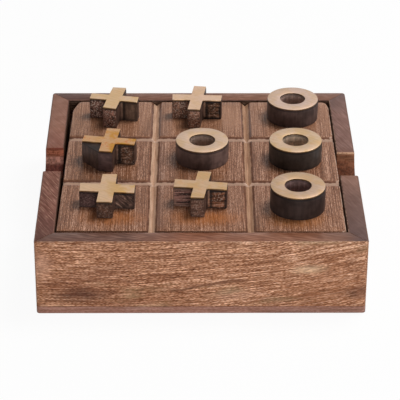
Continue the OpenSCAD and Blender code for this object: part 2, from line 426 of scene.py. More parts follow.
def rimWood(name, turn):
    # the rim is smoother and darker than the faces, with scratches across it
    t, w = boxTones, wallLooks[name]
    r = Recipe(name + "RimWood")
    along = r.parts(r.millimetres(turn))[0]
    slanted = r.millimetres((0, 0, math.radians(-w["slant"])))
    scratches = r.noise(slanted, (0.06, 1.0, 1.0), 2.0, 0.6)
    nicks = r.noise(slanted, (0.16, 2.2, 2.2), 1.0, 0.6, shift=(4, 4, 4))
    wander = r.scaled(r.noise(slanted, (0.06, 0.1, 0.1), 2.0, 0.6, shift=(1, 1, 1)), 18.0, -9.0)
    half = boxSizes["width"] / 2
    rim = r.ramp(r.plus(along, wander), -half, half, w["rim"])
    # the scratches fade towards the mitres, and some rims are smooth on one side of the scoop
    share = r.between(r.math("ABSOLUTE", along), 42.0, 56.0, 1.0, 0.35)
    if "calm" in w:
        share = r.times(share, r.between(along, *w["calm"], 0.2, 1.0))
    marks = r.between(scratches, 0.32, 0.68, -0.4 * w["scratched"], 0.3 * w["scratched"])
    rim = r.stain(rim, r.scaled(marks, share, 1.0))
    rim = r.stain(rim, r.scaled(r.between(nicks, 0.3, 0.7, -0.3, 0.25), share, 1.0))
    pale = r.times(r.between(nicks, 0.58, 0.66), w["scratched"])
    rim = r.mix(r.times(pale, share), rim, t["rimScratch"])
    mottle = r.noise(r.millimetres(), (0.22, 0.22, 0.22), 3.0, 0.6, shift=(2, 2, 2))
    rim = r.stain(rim, r.between(mottle, 0.35, 0.65, 0.9, 1.1))
    roughness = r.between(nicks, 0.3, 0.7, 0.5, 0.36)
    return r.shade(rim, roughness, r.times(nicks, share), 0.00004, 0.5, w["gloss"])


def scoopWood(name):
    # end grain in the scoop: fine level lines at its top, streaks that run down at its foot; the tones step
    # from top to foot, with painted shade at the foot
    r = Recipe(name + "ScoopWood")
    p = r.millimetres()
    level = r.parts(p)[2]
    top, middle, foot = (srgb(*c) for c in wallLooks[name]["end"])
    lines = r.noise(p, (0.12, 0.12, 1.5), 2.0, 0.6)
    streaks = r.noise(p, (0.9, 0.9, 0.12), 2.0, 0.6)
    specks = r.noise(p, (1.3, 1.3, 1.3), 1.0, shift=(3, 3, 3))
    high = r.between(level, 28.4, 29.6)
    # painted light: the tones below the top stand in for sheen on the left scoop's upturned middle and for
    # shade at the foot
    colour = r.mix(high, r.mix(r.between(level, 27.4, 26.2), middle, foot), top)
    colour = r.tint(colour, r.between(r.mix(high, streaks, lines), 0.35, 0.65, 0.66, 1.3))
    colour = r.mix(r.times(r.between(specks, 0.55, 0.65), 0.5), colour, boxTones["pore"])
    lip = r.times(r.between(level, 31.2, 31.6), r.between(specks, 0.4, 0.5, 0.3, 1.0))
    colour = r.mix(lip, colour, srgb(*wallLooks[name]["lip"]))
    return r.shade(colour, 0.75, specks, 0.0001, 0.6, 0.08)


def wallBlank(length, notchAt=None):
    # a wall drawn as the front one, with the scoop in its top edge where it has one
    b = boxSizes
    bm = bmesh.new()
    front = -b["depth"] / 2
    corners = [(-length / 2, b["panel"]), (length / 2, b["panel"]), (length / 2, b["height"])]
    outline = [bm.verts.new((x, front, z)) for x, z in corners]
    if notchAt is not None:
        centreZ = b["height"] - b["notchDepth"] + b["notchRadius"]
        half = math.sqrt(b["notchRadius"] ** 2 - (centreZ - b["height"]) ** 2)
        start = bm.verts.new((notchAt + half, front, b["height"]))
        before = set(bm.verts)
        sweep = 2 * math.asin(half / b["notchRadius"])
        bmesh.ops.spin(bm, geom=[start], cent=(notchAt, front, centreZ), axis=(0, 1, 0), angle=sweep,
                       steps=b["notchSteps"])
        outline += [start] + sorted(set(bm.verts) - before, key=lambda v: -v.co.x)
    outline.append(bm.verts.new((-length / 2, front, b["height"])))
    for e in bm.edges[:]:
        bm.edges.remove(e)
    face = bm.faces.new(outline)
    solid = bmesh.ops.extrude_face_region(bm, geom=[face])
    move(bm, 0, b["wall"], 0, vertsOf(solid["geom"]))
    bmesh.ops.recalc_face_normals(bm, faces=bm.faces)
    low, top, inner = b["panel"], b["height"], front + b["wall"]

    def outerCorner(p, q):
        return near(p.y, front) and near(q.y, front) and near(abs(p.x), length / 2) and near(p.x, q.x)

    def outerFoot(p, q):
        return near(p.z, low) and near(q.z, low) and not near(p.y, inner) and not near(q.y, inner)

    def overTop(p, q):
        # the upper edges, the scoop's two arcs and its lips
        if near(p.y, q.y) and (near(p.y, front) or near(p.y, inner)):
            return p.z > low + 6 and q.z > low + 6
        return near(p.z, top) and near(q.z, top) and (abs(p.y - q.y) < 3 or abs(p.x) < length / 2 - 3)
    roundEdges(bm, outerCorner, b["cornerRound"], 4)
    roundEdges(bm, outerFoot, b["footArris"], 2)
    roundEdges(bm, overTop, b["arris"], 3)
    for side in (-1, 1):
        corner = Vector((side * (length / 2 - b["jointGap"]), front, 0))
        cut(bm, corner, (side, 1, 0), drop=True)
    sliceUp(bm, 0, b["slice"])
    sliceUp(bm, 2, b["slice"])
    # the rim is the second material, the scoop the third
    bm.normal_update()
    for f in bm.faces:
        spot = f.calc_center_median()
        out = 0 if notchAt is None else math.hypot(spot.x - notchAt, spot.z - centreZ)
        if near(out, b["notchRadius"], b["arris"]):
            f.material_index = 2 if abs(f.normal.y) < 0.8 else 0
        elif near(spot.z, top, 0.02):
            f.material_index = 1
    return bm


wallPlan = {
    # name: (turn of the wall, where the scoop is, grain's shift, climb of the grain)
    "wall_front": (0, None, (0, 0, 0), 0.0011),
    "wall_back": (180, None, (210, 40, 13), 0.0),
    "wall_left": (-90, -boxSizes["notchLeft"], (-130, 77, 31), 0.0),
    "wall_right": (90, boxSizes["notchRight"], (90, -55, 52), 0.0003),
}
for seed, (name, (turn, notchAt, shift, climb)) in enumerate(wallPlan.items()):
    bm = wallBlank(boxSizes["width"], notchAt)
    setDown(bm, turn)
    wear(bm, *boxSizes["wear"], seed + 1)
    back = (0, 0, math.radians(-turn))
    looks = [boxWood(name, back, shift, climb), rimWood(name, back)]
    if notchAt is not None:
        looks.append(scoopWood(name))
    finish(name, bm, "box", looks)
print("walls built")


panelLook = {
    "tones": tonesOf(dark=(127, 91, 77), mid=(146, 102, 85), light=(164, 120, 100), pore=(82, 56, 50),
                     fleck=(168, 132, 118)),
    "contrast": 0.4, "drift": 6.0,
    "shade": dict(rough=0.6, smooth=0.45, depth=0.00004, strength=0.5, specular=0.32),
}

b = boxSizes
bm = block(b["width"], b["depth"], b["panel"])
move(bm, 0, 0, b["panel"] / 2)
roundEdges(bm, upright, b["cornerRound"], 4)
roundEdges(bm, atLevel(0), b["panelArris"], 2)
roundEdges(bm, atLevel(b["panel"]), b["panelArris"], 2)
sliceUp(bm, 0, b["panelSlice"])
sliceUp(bm, 1, b["panelSlice"])
wear(bm, *b["panelWear"], 9)
finish("base_panel", bm, "box", [plainWood("panelWood", panelLook, 4.0, shift=(40, 300, 11))])
print("base panel built")


# The ledges that carry the board

ledgeSizes = {
    "thick": 4, "low": 3, "high": 21.7, "opening": 112, "arris": 0.35, "slice": 4, "wear": (0.25, 5),
}


ledgeLook = {
    "tones": tonesOf(dark=(74, 48, 36), mid=(88, 58, 42), light=(102, 70, 50), pore=(48, 28, 20),
                     fleck=(124, 88, 64)),
    "contrast": 0.7, "drift": 3.0,
    "shade": dict(rough=0.75, smooth=0.6, depth=0.00006, strength=0.6, specular=0.3),
}

s = ledgeSizes
for seed, (name, side, across) in enumerate((("ledge_front", -1, 1), ("ledge_back", 1, 1),
                                             ("ledge_left", -1, 0), ("ledge_right", 1, 0))):
    length = s["opening"] if across else s["opening"] - 2 * s["thick"]
    middle = side * (s["opening"] - s["thick"]) / 2
    bm = block(length, s["thick"], s["high"] - s["low"])
    roundEdges(bm, lambda p, q: True, s["arris"], 2)
    sliceUp(bm, 0, s["slice"])
    move(bm, 0, middle, (s["high"] + s["low"]) / 2)
    if not across:
        setDown(bm, -90)
    wear(bm, *s["wear"], seed + 20)
    back = (0, 0, 0) if across else (0, 0, math.radians(90))
    shift = (seed * 61 + 5, 17, seed * 9)
    finish(name, bm, "box", [plainWood(name + "Wood", ledgeLook, shift[0], back, shift)])
print("ledges built")


# The board: grooves above, dimples below

boardSizes = {
    "front": 111, "back": 109.4, "depth": 110, "thick": 10, "top": 31.7, "x": 0.4, "y": 0.2, "turn": -0.4167,
    "wornLeft": (2.4, 8), "wornRight": (1.2, 4.5), "arris": 0.45, "backCorner": 1.6, "frontCorner": 0.4,
    "gridX": 19.0, "gridY": 18.83, "gridShift": 1.9, "slice": 4, "wear": (0.1, 9),
    "grooveHalf": 2.1, "grooveDepth": 1.9, "grooveSoftness": 0.2, "stripWide": 6.5,
    "grooveCuts": (0, 0.3, 0.8, 1.3, 1.8, 2.1, 2.4, 2.8, 3.6, 5.5),  # distances from a groove's middle
    "patches": {
        # middle, reach, share and tone of places painted warmer, as painted reflection of the dark pieces in
        # front of them, or darker, as painted shadow around the pieces
        "beforeFrontCross": ((-34, -45), (18, 8), 0.55, (158, 94, 48)),
        "beforeMiddleCross": ((2, -45), (20, 8), 0.55, (166, 98, 48)),
        "beforeFrontRing": ((37, -46), (18, 9), 0.6, (156, 96, 50)),
        "middleOfBoard": ((-1, -13), (18, 6), 0.6, (118, 78, 54)),
        "behindFrontCross": ((-38, -14), (17, 6), 0.7, (106, 68, 44)),
        "besideBackCross": ((-19, 30), (6, 14), 0.45, (118, 80, 58)),
        "behindMiddleCross": ((-38, 22), (12, 6), 0.4, (108, 66, 42)),
    },
    "dimpleRadius": 5.2, "dimpleDepth": 2.5, "dimplePitch": 14.319, "dimpleSoft": 0.12,
    "dimpleLip": ((0.14, 0.04), (0.34, -0.05), (0.5, -1.2)),  # out and up from the dimple's edge
}

boardTones = tonesOf(
    dark=(132, 88, 61), mid=(149, 102, 75), light=(166, 119, 92), pore=(82, 42, 24), fleck=(190, 149, 124),
    bareDark=(166, 126, 99), bareLight=(192, 153, 124), barePale=(211, 176, 154), backRow=(184, 137, 107),
    burntDark=(98, 64, 48), burntLight=(130, 88, 68), strip=(98, 64, 50))


def boardWood():
    b, t = boardSizes, boardTones
    r = Recipe("boardWood")
    grain = grainOf(r, (0, 0, math.radians(90)), (0, 0, 0), drift=3.0)
    colour, height = fibresOf(r, grain, t, 0.85, 2.0)
    x, y, z = r.parts(r.millimetres())
    below = r.minus(b["top"], z)
    facingUp = r.facing((0, 0, 1))
    uneven = r.times(r.minus(r.noise(grain, (0.2, 0.6, 0.6), 2.0), 0.5), 0.7)
    # the grooves are bare wood, darker towards their bottoms
    inGroove = r.times(r.between(facingUp, 0.15, 0.4), r.between(below, 0.12, 0.3))
    deep = r.between(r.plus(below, uneven), 0.7, 1.0)
    streaks = r.noise(grain, (0.08, 1.2, 1.2), 2.0)
    bare = r.mix(r.between(streaks, 0.35, 0.65), t["bareDark"], t["bareLight"])
    # painted light: the grooves at the left are lighter, against the shade the lamp leaves on their slopes
    bare = r.stain(bare, r.between(x, -25, 25, 1.3, 1.0))
    # painted highlight: the groove slopes that face the front are paler, standing in for the light they catch
    bare = r.mix(r.between(r.facing((0, 1, 0)), -0.15, -0.4), bare, t["barePale"])
    burnt = r.mix(r.between(uneven, -0.2, 0.2), t["burntDark"], t["burntLight"])
    # the planed cells are darker in a strip along the right-hand side of each long groove
    across = r.minus(x, b["x"])
    rightOf = r.math("MODULO", r.plus(across, b["gridX"] * 5), b["gridX"] * 2)
    strip = r.between(r.plus(rightOf, r.times(uneven, 2.0)), b["stripWide"], b["grooveHalf"])
    strip = r.times(strip, r.math("GREATER_THAN", across, -b["gridX"] * 1.5))
    colour = r.mix(r.times(strip, r.between(across, -5, 5, 0.42, 0.2)), colour, t["strip"])
    # the back row of cells is lighter
    backRow = r.times(r.between(r.plus(y, r.times(uneven, 20.0)), 5.0, 40.0), 0.22)
    backRow = r.math("MAXIMUM", backRow, r.times(r.patch(x, y, (13, 42), (9, 22)), 0.5))
    colour = r.mix(backRow, colour, t["backRow"])
    uneven = r.times(uneven, 8.0)
    # painted reflection and painted shadow around the pieces, laid over the grain
    for middle, reach, share, tone in b["patches"].values():
        share = r.times(r.patch(x, r.plus(y, uneven), middle, reach), share)
        colour = softPatch(r, colour, height, share, tone)
    colour = r.mix(inGroove, colour, r.mix(deep, burnt, bare))
    # the right-hand arris is rubbed pale in places
    rightEdge = r.times(r.between(facingUp, 0.98, 0.85), r.math("GREATER_THAN", x, 54.0))
    rightEdge = r.times(rightEdge, r.between(below, 0.9, 0.5))
    broken = r.between(r.noise(grain, (0.7, 0.9, 0.9), 2.0, 0.6), 0.42, 0.56)
    colour = r.mix(r.times(rightEdge, broken), colour, t["barePale"])
    return woodShade(r, colour, height, rough=0.42, smooth=0.27, depth=0.00005, strength=0.4, specular=0.13)


def grooveFall(distance):
    # how far the surface lies below the top at a distance from a groove's middle
    b = boardSizes
    free = b["grooveDepth"] * (1 - abs(distance) / b["grooveHalf"])
    return -0.5 * (free + math.sqrt(free * free + b["grooveSoftness"] ** 2))


def boardBlank():
    b = boardSizes
    bm = block(b["front"], b["depth"], b["thick"])
    half = b["depth"] / 2
    for v in bm.verts:
        if v.co.y > 0:
            v.co.x *= b["back"] / b["front"]
    edge = b["back"] / 2
    lean = (b["front"] - b["back"]) / 2 / b["depth"]
    for side, (width, length) in ((-1, b["wornLeft"]), (1, b["wornRight"])):
        start = Vector((side * (edge - width), half, 0))
        end = Vector((side * (edge + lean * length), half - length, 0))
        along = end - start
        cut(bm, start, (-side * along.y, side * along.x, 0), drop=True)
    bmesh.ops.recalc_face_normals(bm, faces=bm.faces)
    roundEdges(bm, lambda p, q: upright(p, q) and p.y > 0, b["backCorner"], 3)
    roundEdges(bm, lambda p, q: upright(p, q) and p.y < 0, b["frontCorner"], 2)
    roundEdges(bm, lambda p, q: near(abs(p.z), b["thick"] / 2) and near(p.z, q.z), b["arris"], 3)

    def above(f):
        return f.normal.z > 0.1
    grids = (Vector((1, 0, 0)), b["gridX"], 0), (Vector((0, 1, 0)), b["gridY"], b["gridShift"])
    for normal, pitch, shift in grids:
        for middle in (shift - pitch, shift + pitch):
            for place in sorted({middle + side * c for c in b["grooveCuts"] for side in (-1, 1)}):
                bm.normal_update()
                cut(bm, normal * place, normal, [f for f in bm.faces if above(f)])
    bm.normal_update()
    sliceUp(bm, 0, b["slice"], above)
    sliceUp(bm, 1, b["slice"], above)
    bm.normal_update()
    for v in bm.verts:
        if v.co.z > b["thick"] / 2 - b["arris"] - 0.01:
            alongX, alongY = abs(v.co.y - b["gridShift"]) - b["gridY"], abs(v.co.x) - b["gridX"]
            v.co.z += min(grooveFall(alongX), grooveFall(alongY))
    move(bm, 0, 0, b["top"] - b["thick"] / 2)
    setDown(bm, b["turn"], b["x"], b["y"])
    return bm


def dimpleCutter():
    # one dimple's profile with a softened lip, spun and repeated over the solitaire cross
    b = boardSizes
    under = b["top"] - b["thick"]
    centre = under + b["dimpleDepth"] - b["dimpleRadius"]
    bm = bmesh.new()
    crown = bm.verts.new((0, 0, centre + b["dimpleRadius"]))
    mouth = math.acos((under + b["dimpleSoft"] - centre) / b["dimpleRadius"])
    bmesh.ops.spin(bm, geom=[crown], cent=(0, 0, centre), axis=(0, 1, 0), angle=mouth, steps=8)
    lip = max(bm.verts, key=lambda v: v.co.x)
    line = [lip]
    for out, up in b["dimpleLip"]:
        line.append(bm.verts.new((lip.co.x + out, 0, under + up)))
    line.append(bm.verts.new((0, 0, line[-1].co.z)))
    for p, q in zip(line, line[1:]):
        bm.edges.new((p, q))
    spinRound(bm, 32)
    bmesh.ops.remove_doubles(bm, verts=bm.verts, dist=1e-3)
    bmesh.ops.recalc_face_normals(bm, faces=bm.faces)
    first = bm.verts[:] + bm.edges[:] + bm.faces[:]
    for column in range(-3, 4):
        for row in range(-3, 4):
            if (abs(column) < 2 or abs(row) < 2) and (column or row):
                copy = bmesh.ops.duplicate(bm, geom=first)["geom"]
                move(bm, column * b["dimplePitch"], row * b["dimplePitch"], 0, vertsOf(copy))
    setDown(bm, b["turn"], b["x"], b["y"])
    return bm


def carve(bm, cutter):
    # takes one solid out of another with a Boolean modifier
    objects = [place("carving", meshOf("carving", part)) for part in (bm, cutter)]
    tool = objects[0].modifiers.new("dimples", "BOOLEAN")
    tool.operation, tool.solver, tool.object = "DIFFERENCE", "EXACT", objects[1]
    result = objects[0].evaluated_get(bpy.context.evaluated_depsgraph_get()).to_mesh()
    carved = bmesh.new()
    carved.from_mesh(result)
    for o in objects:
        bpy.data.objects.remove(o)
    return carved


bm = carve(boardBlank(), dimpleCutter())
wear(bm, *boardSizes["wear"], 31)
finish("board", bm, "board", [boardWood()])
print("board built")


# The playing pieces: dark wood bodies with brass on top

pieceSizes = {
    "boardTop": 31.7, "brassThick": 0.6, "woodProud": 0.12, "brassCorner": 0.15, "brassArris": 0.08,
    "outerCorner": 0.4, "innerCorner": 1.5, "footArris": 0.2, "headArris": 0.12, "slice": 1.6,
    "crossWear": (0.2, 2.2), "brassWear": (0.03, 3), "ringWear": (0.06, 2.5),
    "ringOuter": 10.82, "ringInner": 5.1, "ringWave": 0.12, "ringSteps": 96,
    "brassBack": (0.08, 0.1), "brassFoot": 0.02, "brassHead": 0.1,  # the brass rings, set back from the wood
}

crosses = {
    # arms as (reach, width, lean of its end) for right, back, left and front; bend of the two bars;
    # tone of the brass, how tarnished it is, and how much more so at its right;
    # cuts of the left arm's front, the front end and the right arm's front, with the tone of each;
    # the tones hold painted light: faces that lie in shade, most the left arms' fronts, are painted lighter
    "cross_1": dict(
        turn=-10.8, bend=(0.1, -0.1), arms=((10.1, 4.7, 4), (9.8, 5.7, 5), (10.3, 4.8, 2), (9.8, 5.7, -5)),
        tone=(194, 165, 136), tarnish=0.25,
        cuts=(("speckled", (125, 91, 79)), ("speckled", (152, 111, 96)), ("planed", (106, 83, 69)))),
    "cross_2": dict(
        turn=-5.2, bend=(2.2, -2.2), arms=((10.4, 4.9, -3), (10.8, 5.2, 0), (10.4, 5.3, 2), (11.2, 5.2, 4)),
        tone=(197, 166, 142), tarnish=0.08,
        cuts=(("speckled", (145, 106, 87)), ("speckled", (151, 111, 92)), ("framed", (100, 69, 50)))),
    "cross_3": dict(
        turn=-8.5, bend=(-0.6, 0.6), arms=((10.6, 4.9, 0), (10.2, 5.6, -2), (10.9, 5.1, 0), (9.8, 5.4, -1)),
        tone=(180, 139, 98), tarnish=0.9, goldRight=0.8, web=True,
        cuts=(("scratched", (119, 54, 44)), ("scratched", (98, 77, 74)), ("wavy", (89, 61, 46)))),
    "cross_4": dict(
        turn=-4.1, bend=(-0.3, 0.3), arms=((10.8, 6.5, 2), (11.0, 5.8, 3), (10.7, 6.3, 3), (11.1, 6.1, 2)),
        tone=(187, 156, 125), tarnish=0.2, goldRight=1.0,
        cuts=(("grained", (73, 52, 49)), ("grained", (74, 50, 39)), ("slashed", (78, 58, 50)))),
    "cross_5": dict(
        turn=-8.0, bend=(0.4, -0.4), arms=((10.3, 5.4, 3), (10.6, 5.3, 1), (10.5, 6.1, 3), (10.4, 5.2, 4)),
        tone=(180, 149, 118), tarnish=0.25,
        cuts=(("streaked", (105, 73, 65)), ("ribbed", (93, 66, 54)), ("framed", (113, 72, 51)))),
}

# the bore tone is painted light: much paler than the side, standing in for light inside the shaded hole
rings = {
    "ring_1": dict(tone=(188, 162, 146), tarnish=0.12, side=(80, 64, 60), bore=(176, 150, 138)),
    "ring_2": dict(tone=(187, 160, 138), tarnish=0.15, side=(94, 75, 70), bore=(177, 152, 137)),
    "ring_3": dict(tone=(186, 159, 133), tarnish=0.25, side=(59, 50, 45), bore=(196, 174, 153)),
    "ring_4": dict(tone=(175, 148, 126), tarnish=0.2, side=(48, 37, 34), bore=(146, 118, 114)),
}

darkCuts = {
    # stretch, slant and contrast of the marks that a tool left; shares of pale lines, pale specks and pores,
    # a dark frame (below 0: a pale one), and a painted highlight ridge at the inner corner with a painted
    # shadow furrow beside it; then roughness, and depth in 0.1 mm
    "planed": dict(stretch=(0.9, 0.1), contrast=0.3, pores=0.2, frame=0.4, ridge=0.25, rough=0.42, depth=0.3),
    "turned": dict(stretch=(0.6, 0.07), contrast=0.16, rough=0.4, depth=0.25),
    "bored": dict(stretch=(0.9, 0.12), contrast=0.22, lines=0.15, pores=0.2, rough=0.6, depth=0.5),
    "scratched": dict(stretch=(0.14, 1.0), slant=-3, contrast=0.16, lines=0.14, frame=0.25,
                      rough=0.5, depth=0.4),
    "speckled": dict(stretch=(1.0, 1.0), contrast=0.35, specks=0.65, pores=0.7, frame=0.25,
                     rough=0.62, depth=0.8),
    "grained": dict(stretch=(0.9, 1.4), contrast=0.3, specks=0.1, pores=0.4, frame=0.2, rough=0.6, depth=0.6),
    "ribbed": dict(stretch=(0.22, 1.9), slant=3, contrast=0.4, lines=0.35, specks=0.14, pores=0.3,
                   frame=0.2, rough=0.6, depth=0.8),
    "slashed": dict(stretch=(0.3, 1.8), slant=-42, contrast=0.55, lines=0.7, pores=0.2, frame=0.6,
                    rough=0.58, depth=1.0),
    "streaked": dict(stretch=(0.09, 1.5), slant=2, contrast=0.88, lines=0.85, specks=0.12, pores=0.2,
                     frame=-0.3, rough=0.58, depth=1.0),
    "framed": dict(stretch=(0.14, 1.5), slant=6, contrast=0.65, lines=0.5, specks=0.24, pores=0.4,
                   frame=0.9, ridge=0.5, rough=0.62, depth=1.2),
    "wavy": dict(stretch=(0.3, 1.2), slant=6, contrast=0.6, lines=0.5, specks=0.2, pores=0.4,
                 frame=0.6, ridge=0.3, rough=0.6, depth=1.1),
}

darkTones = tonesOf(
    line=(160, 128, 110), dust=(218, 194, 178), pore=(30, 20, 17), frame=(22, 16, 15),
    paleFrame=(150, 118, 102), furrow=(24, 17, 15), ridge=(150, 116, 96))


def ownSpace(r, turn, centre):
    # millimetres from the middle of a piece, with X along its left and right arms
    back = Matrix.Rotation(math.radians(-turn), 3, "Z")
    middle = Vector((centre.x, centre.y, 0))
    return r.millimetres((0, 0, math.radians(-turn)), -(back @ middle))


def darkWood(name, cutName, tone, seed, turn, centre, levels, ends=None):
    # near-black wood, marked by the way each face was cut; levels and ends are an upright face's borders
    c, t = darkCuts[cutName], darkTones
    r = Recipe(name)
    own = ownSpace(r, turn, centre)
    slant = (0, math.radians(c.get("slant", 0)), 0)
    p = r.mapped(own, Rotation=slant, Location=(seed * 7, seed * 3, seed * 5))
    wide, tall = c["stretch"]
    patches = r.noise(p, (0.3, 0.3, 0.3))
    marks = r.noise(p, (wide, wide, tall), 2.0, 0.6)
    colour = r.tint(srgb(*tone)[:3], r.between(patches, 0.35, 0.65, 0.78, 1.22))
    colour = r.tint(colour, r.between(marks, 0.32, 0.68, 1 - c["contrast"], 1 + c["contrast"]))
    height = marks
    if "lines" in c:
        colour = r.mix(r.times(r.between(marks, 0.58, 0.68), c["lines"]), colour, t["line"])
    if "specks" in c:
        dust = r.between(r.noise(p, (1.9, 1.9, 1.9), 0.0, shift=(5, 5, 5)), 0.6, 0.66)
        colour = r.mix(r.times(dust, c["specks"]), colour, t["dust"])
        height = r.plus(height, dust)
    if "pores" in c:
        pores = r.between(r.noise(p, (1.3, 1.3, 1.3), 1.0, shift=(9, 9, 9)), 0.54, 0.64)
        colour = r.mix(r.times(pores, c["pores"]), colour, t["pore"])
        height = r.minus(height, pores)
    places = r.parts(own)
    along, up = places[0], places[2]
    # painted shade darkens the wood just under the brass
    under = r.plus(up, r.scaled(patches, 0.6, -0.3))
    colour = r.tint(colour, r.between(under, levels[1] - 0.9, levels[1] - 0.3, 1.0, 0.45))
    if "frame" in c and ends:
        gaps = [r.minus(along, ends[0]), r.minus(ends[1], along),
                r.minus(up, levels[0]), r.minus(levels[1], up)]
        inside = r.math("MINIMUM", r.math("MINIMUM", gaps[0], gaps[1]), r.math("MINIMUM", gaps[2], gaps[3]))
        inside = r.plus(inside, r.scaled(patches, 2.4, -1.2))
        edge = r.times(r.between(inside, 1.3, 0.5), abs(c["frame"]))
        colour = r.mix(edge, colour, t["frame"] if c["frame"] > 0 else t["paleFrame"])
    if "ridge" in c and ends and ends[0] > 0:
        # a painted shadow furrow, and between it and the arm in front a painted highlight ridge
        away = r.minus(along, ends[0])
        furrow = r.times(r.between(away, 1.0, 1.4), r.between(away, 3.0, 1.9))
        colour = r.mix(r.times(furrow, 0.85), colour, t["furrow"])
        away = r.math("ABSOLUTE", r.minus(away, 0.75))
        ridge = r.times(r.between(away, 0.55, 0.25), r.between(up, levels[0] + 1, levels[0] + 2.5))
        colour = r.mix(r.times(ridge, c["ridge"]), colour, t["ridge"])
    return r.shade(colour, c["rough"], height, 0.0001 * c["depth"], 0.5, 0.13)


brassTones = tonesOf(speck=(172, 100, 48), sawnEdge=(92, 66, 40))


def brassPlate(name, spec, seed, middleX):
    r = Recipe(name)
    tone, tarnish, lean = spec["tone"], spec["tarnish"], spec.get("goldRight", 0)
    p = r.millimetres(shift=(seed * 7, seed * 3, 0))
    clouds = r.noise(p, (0.16, 0.16, 0.16), 3.0, 0.6)
    fine = r.noise(p, (0.6, 0.6, 0.6), 2.0, 0.6)
    rubbed = r.noise(r.millimetres((0, 0, math.radians(35))), (0.1, 1.6, 1.0), 2.0, 0.6)
    # clouds of golden tarnish, more of it towards the right where the plate leans so
    gold = srgb(tone[0] - 8, tone[1] - 13 - 6 * tarnish, tone[2] - 37 - 26 * tarnish)
    golden = r.times(r.between(clouds, 0.42, 0.6), 0.3 + 0.7 * tarnish)
    x = r.parts(r.millimetres())[0]
    golden = r.times(golden, r.between(x, middleX - 8, middleX + 8, 1 - lean, 1 + lean))
    colour = r.mix(golden, srgb(*tone), gold)
    colour = r.tint(colour, r.between(rubbed, 0.3, 0.7, 0.94, 1.05))
    colour = r.tint(colour, r.between(fine, 0.3, 0.7, 0.95, 1.04))
    colour = r.mix(r.times(r.between(fine, 0.54, 0.66), 0.7 * tarnish), colour, brassTones["speck"])
    # the sawn edge of the plate is darker
    colour = r.mix(r.between(r.facing((0, 0, 1)), 0.75, 0.3, 0, 0.8), colour, brassTones["sawnEdge"])
    return r.shade(colour, r.between(rubbed, 0.3, 0.7, 0.5, 0.36), rubbed, 0.00002, 0.3, metallic=1.0)


def crossOutline(spec, inset):
    # the middle square with its four sides drawn out into arms
    bm = bmesh.new()
    arms = spec["arms"]
    bmesh.ops.create_grid(bm, x_segments=1, y_segments=1, size=1)
    halfX = (arms[1][1] + arms[3][1]) / 4 - inset
    halfY = (arms[0][1] + arms[2][1]) / 4 - inset
    for v in bm.verts:
        v.co = (halfX * math.copysign(1, v.co.x), halfY * math.copysign(1, v.co.y), 0)
    inner = {}
    for e in bm.edges[:]:
        middle = (e.verts[0].co + e.verts[1].co) / 2
        k = round(math.atan2(middle.y, middle.x) / (math.pi / 2)) % 4
        reach, width, lean = arms[k]
        ends = vertsOf(bmesh.ops.extrude_edge_only(bm, edges=[e])["geom"])
        facing = Matrix.Rotation(math.radians(90 * k + spec["bend"][k % 2]), 3, "Z")
        skew = Matrix.Rotation(math.radians(lean), 3, "Z")
        for v in ends:
            local = Matrix.Rotation(math.radians(-90 * k), 3, "Z") @ v.co
            sideways = skew @ Vector((0, math.copysign(width / 2 - inset, local.y), 0))
            v.co = facing @ (Vector((reach - inset, 0, 0)) + sideways)
        inner[k] = ends
    if spec.get("web") and inset < 0:
        # the corner between the left and the front arm was never cut out
        left = min(inner[2], key=lambda v: v.co.y)
        front = min(inner[3], key=lambda v: v.co.x)
        corner = min((v for v in bm.verts if v not in inner[2] + inner[3]), key=lambda v: v.co.x + v.co.y)
        bmesh.ops.contextual_create(bm, geom=[left, corner, front])
    return bm


def standUp(bm, low, high):
    # gives the outline its height
    bmesh.ops.recalc_face_normals(bm, faces=bm.faces)
    solid = bmesh.ops.extrude_face_region(bm, geom=bm.faces[:], use_keep_orig=True)
    move(bm, 0, 0, high - low, vertsOf(solid["geom"]))
    bmesh.ops.recalc_face_normals(bm, faces=bm.faces)
    move(bm, 0, 0, low)


def cutOf(face, arm):
    # a face's place among the materials: left arm's front, front end, right arm's front, other sides, top
    spot = face.calc_center_median()
    if face.normal.z > 0.5:
        return 4
    if face.normal.y > -0.8 * math.hypot(face.normal.x, face.normal.y) or face.normal.z < -0.5:
        return 3
    if abs(spot.x) < arm / 2 + 0.6:
        return 1
    return 0 if spot.x < 0 else 2


def placeOf(name):
    # the middle of a piece, and the levels of its wood's foot, its brass's foot and its top
    low, high = (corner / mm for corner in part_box(name + "_brass"))
    return (low + high) / 2, (pieceSizes["boardTop"], high.z - pieceSizes["brassThick"], high.z)


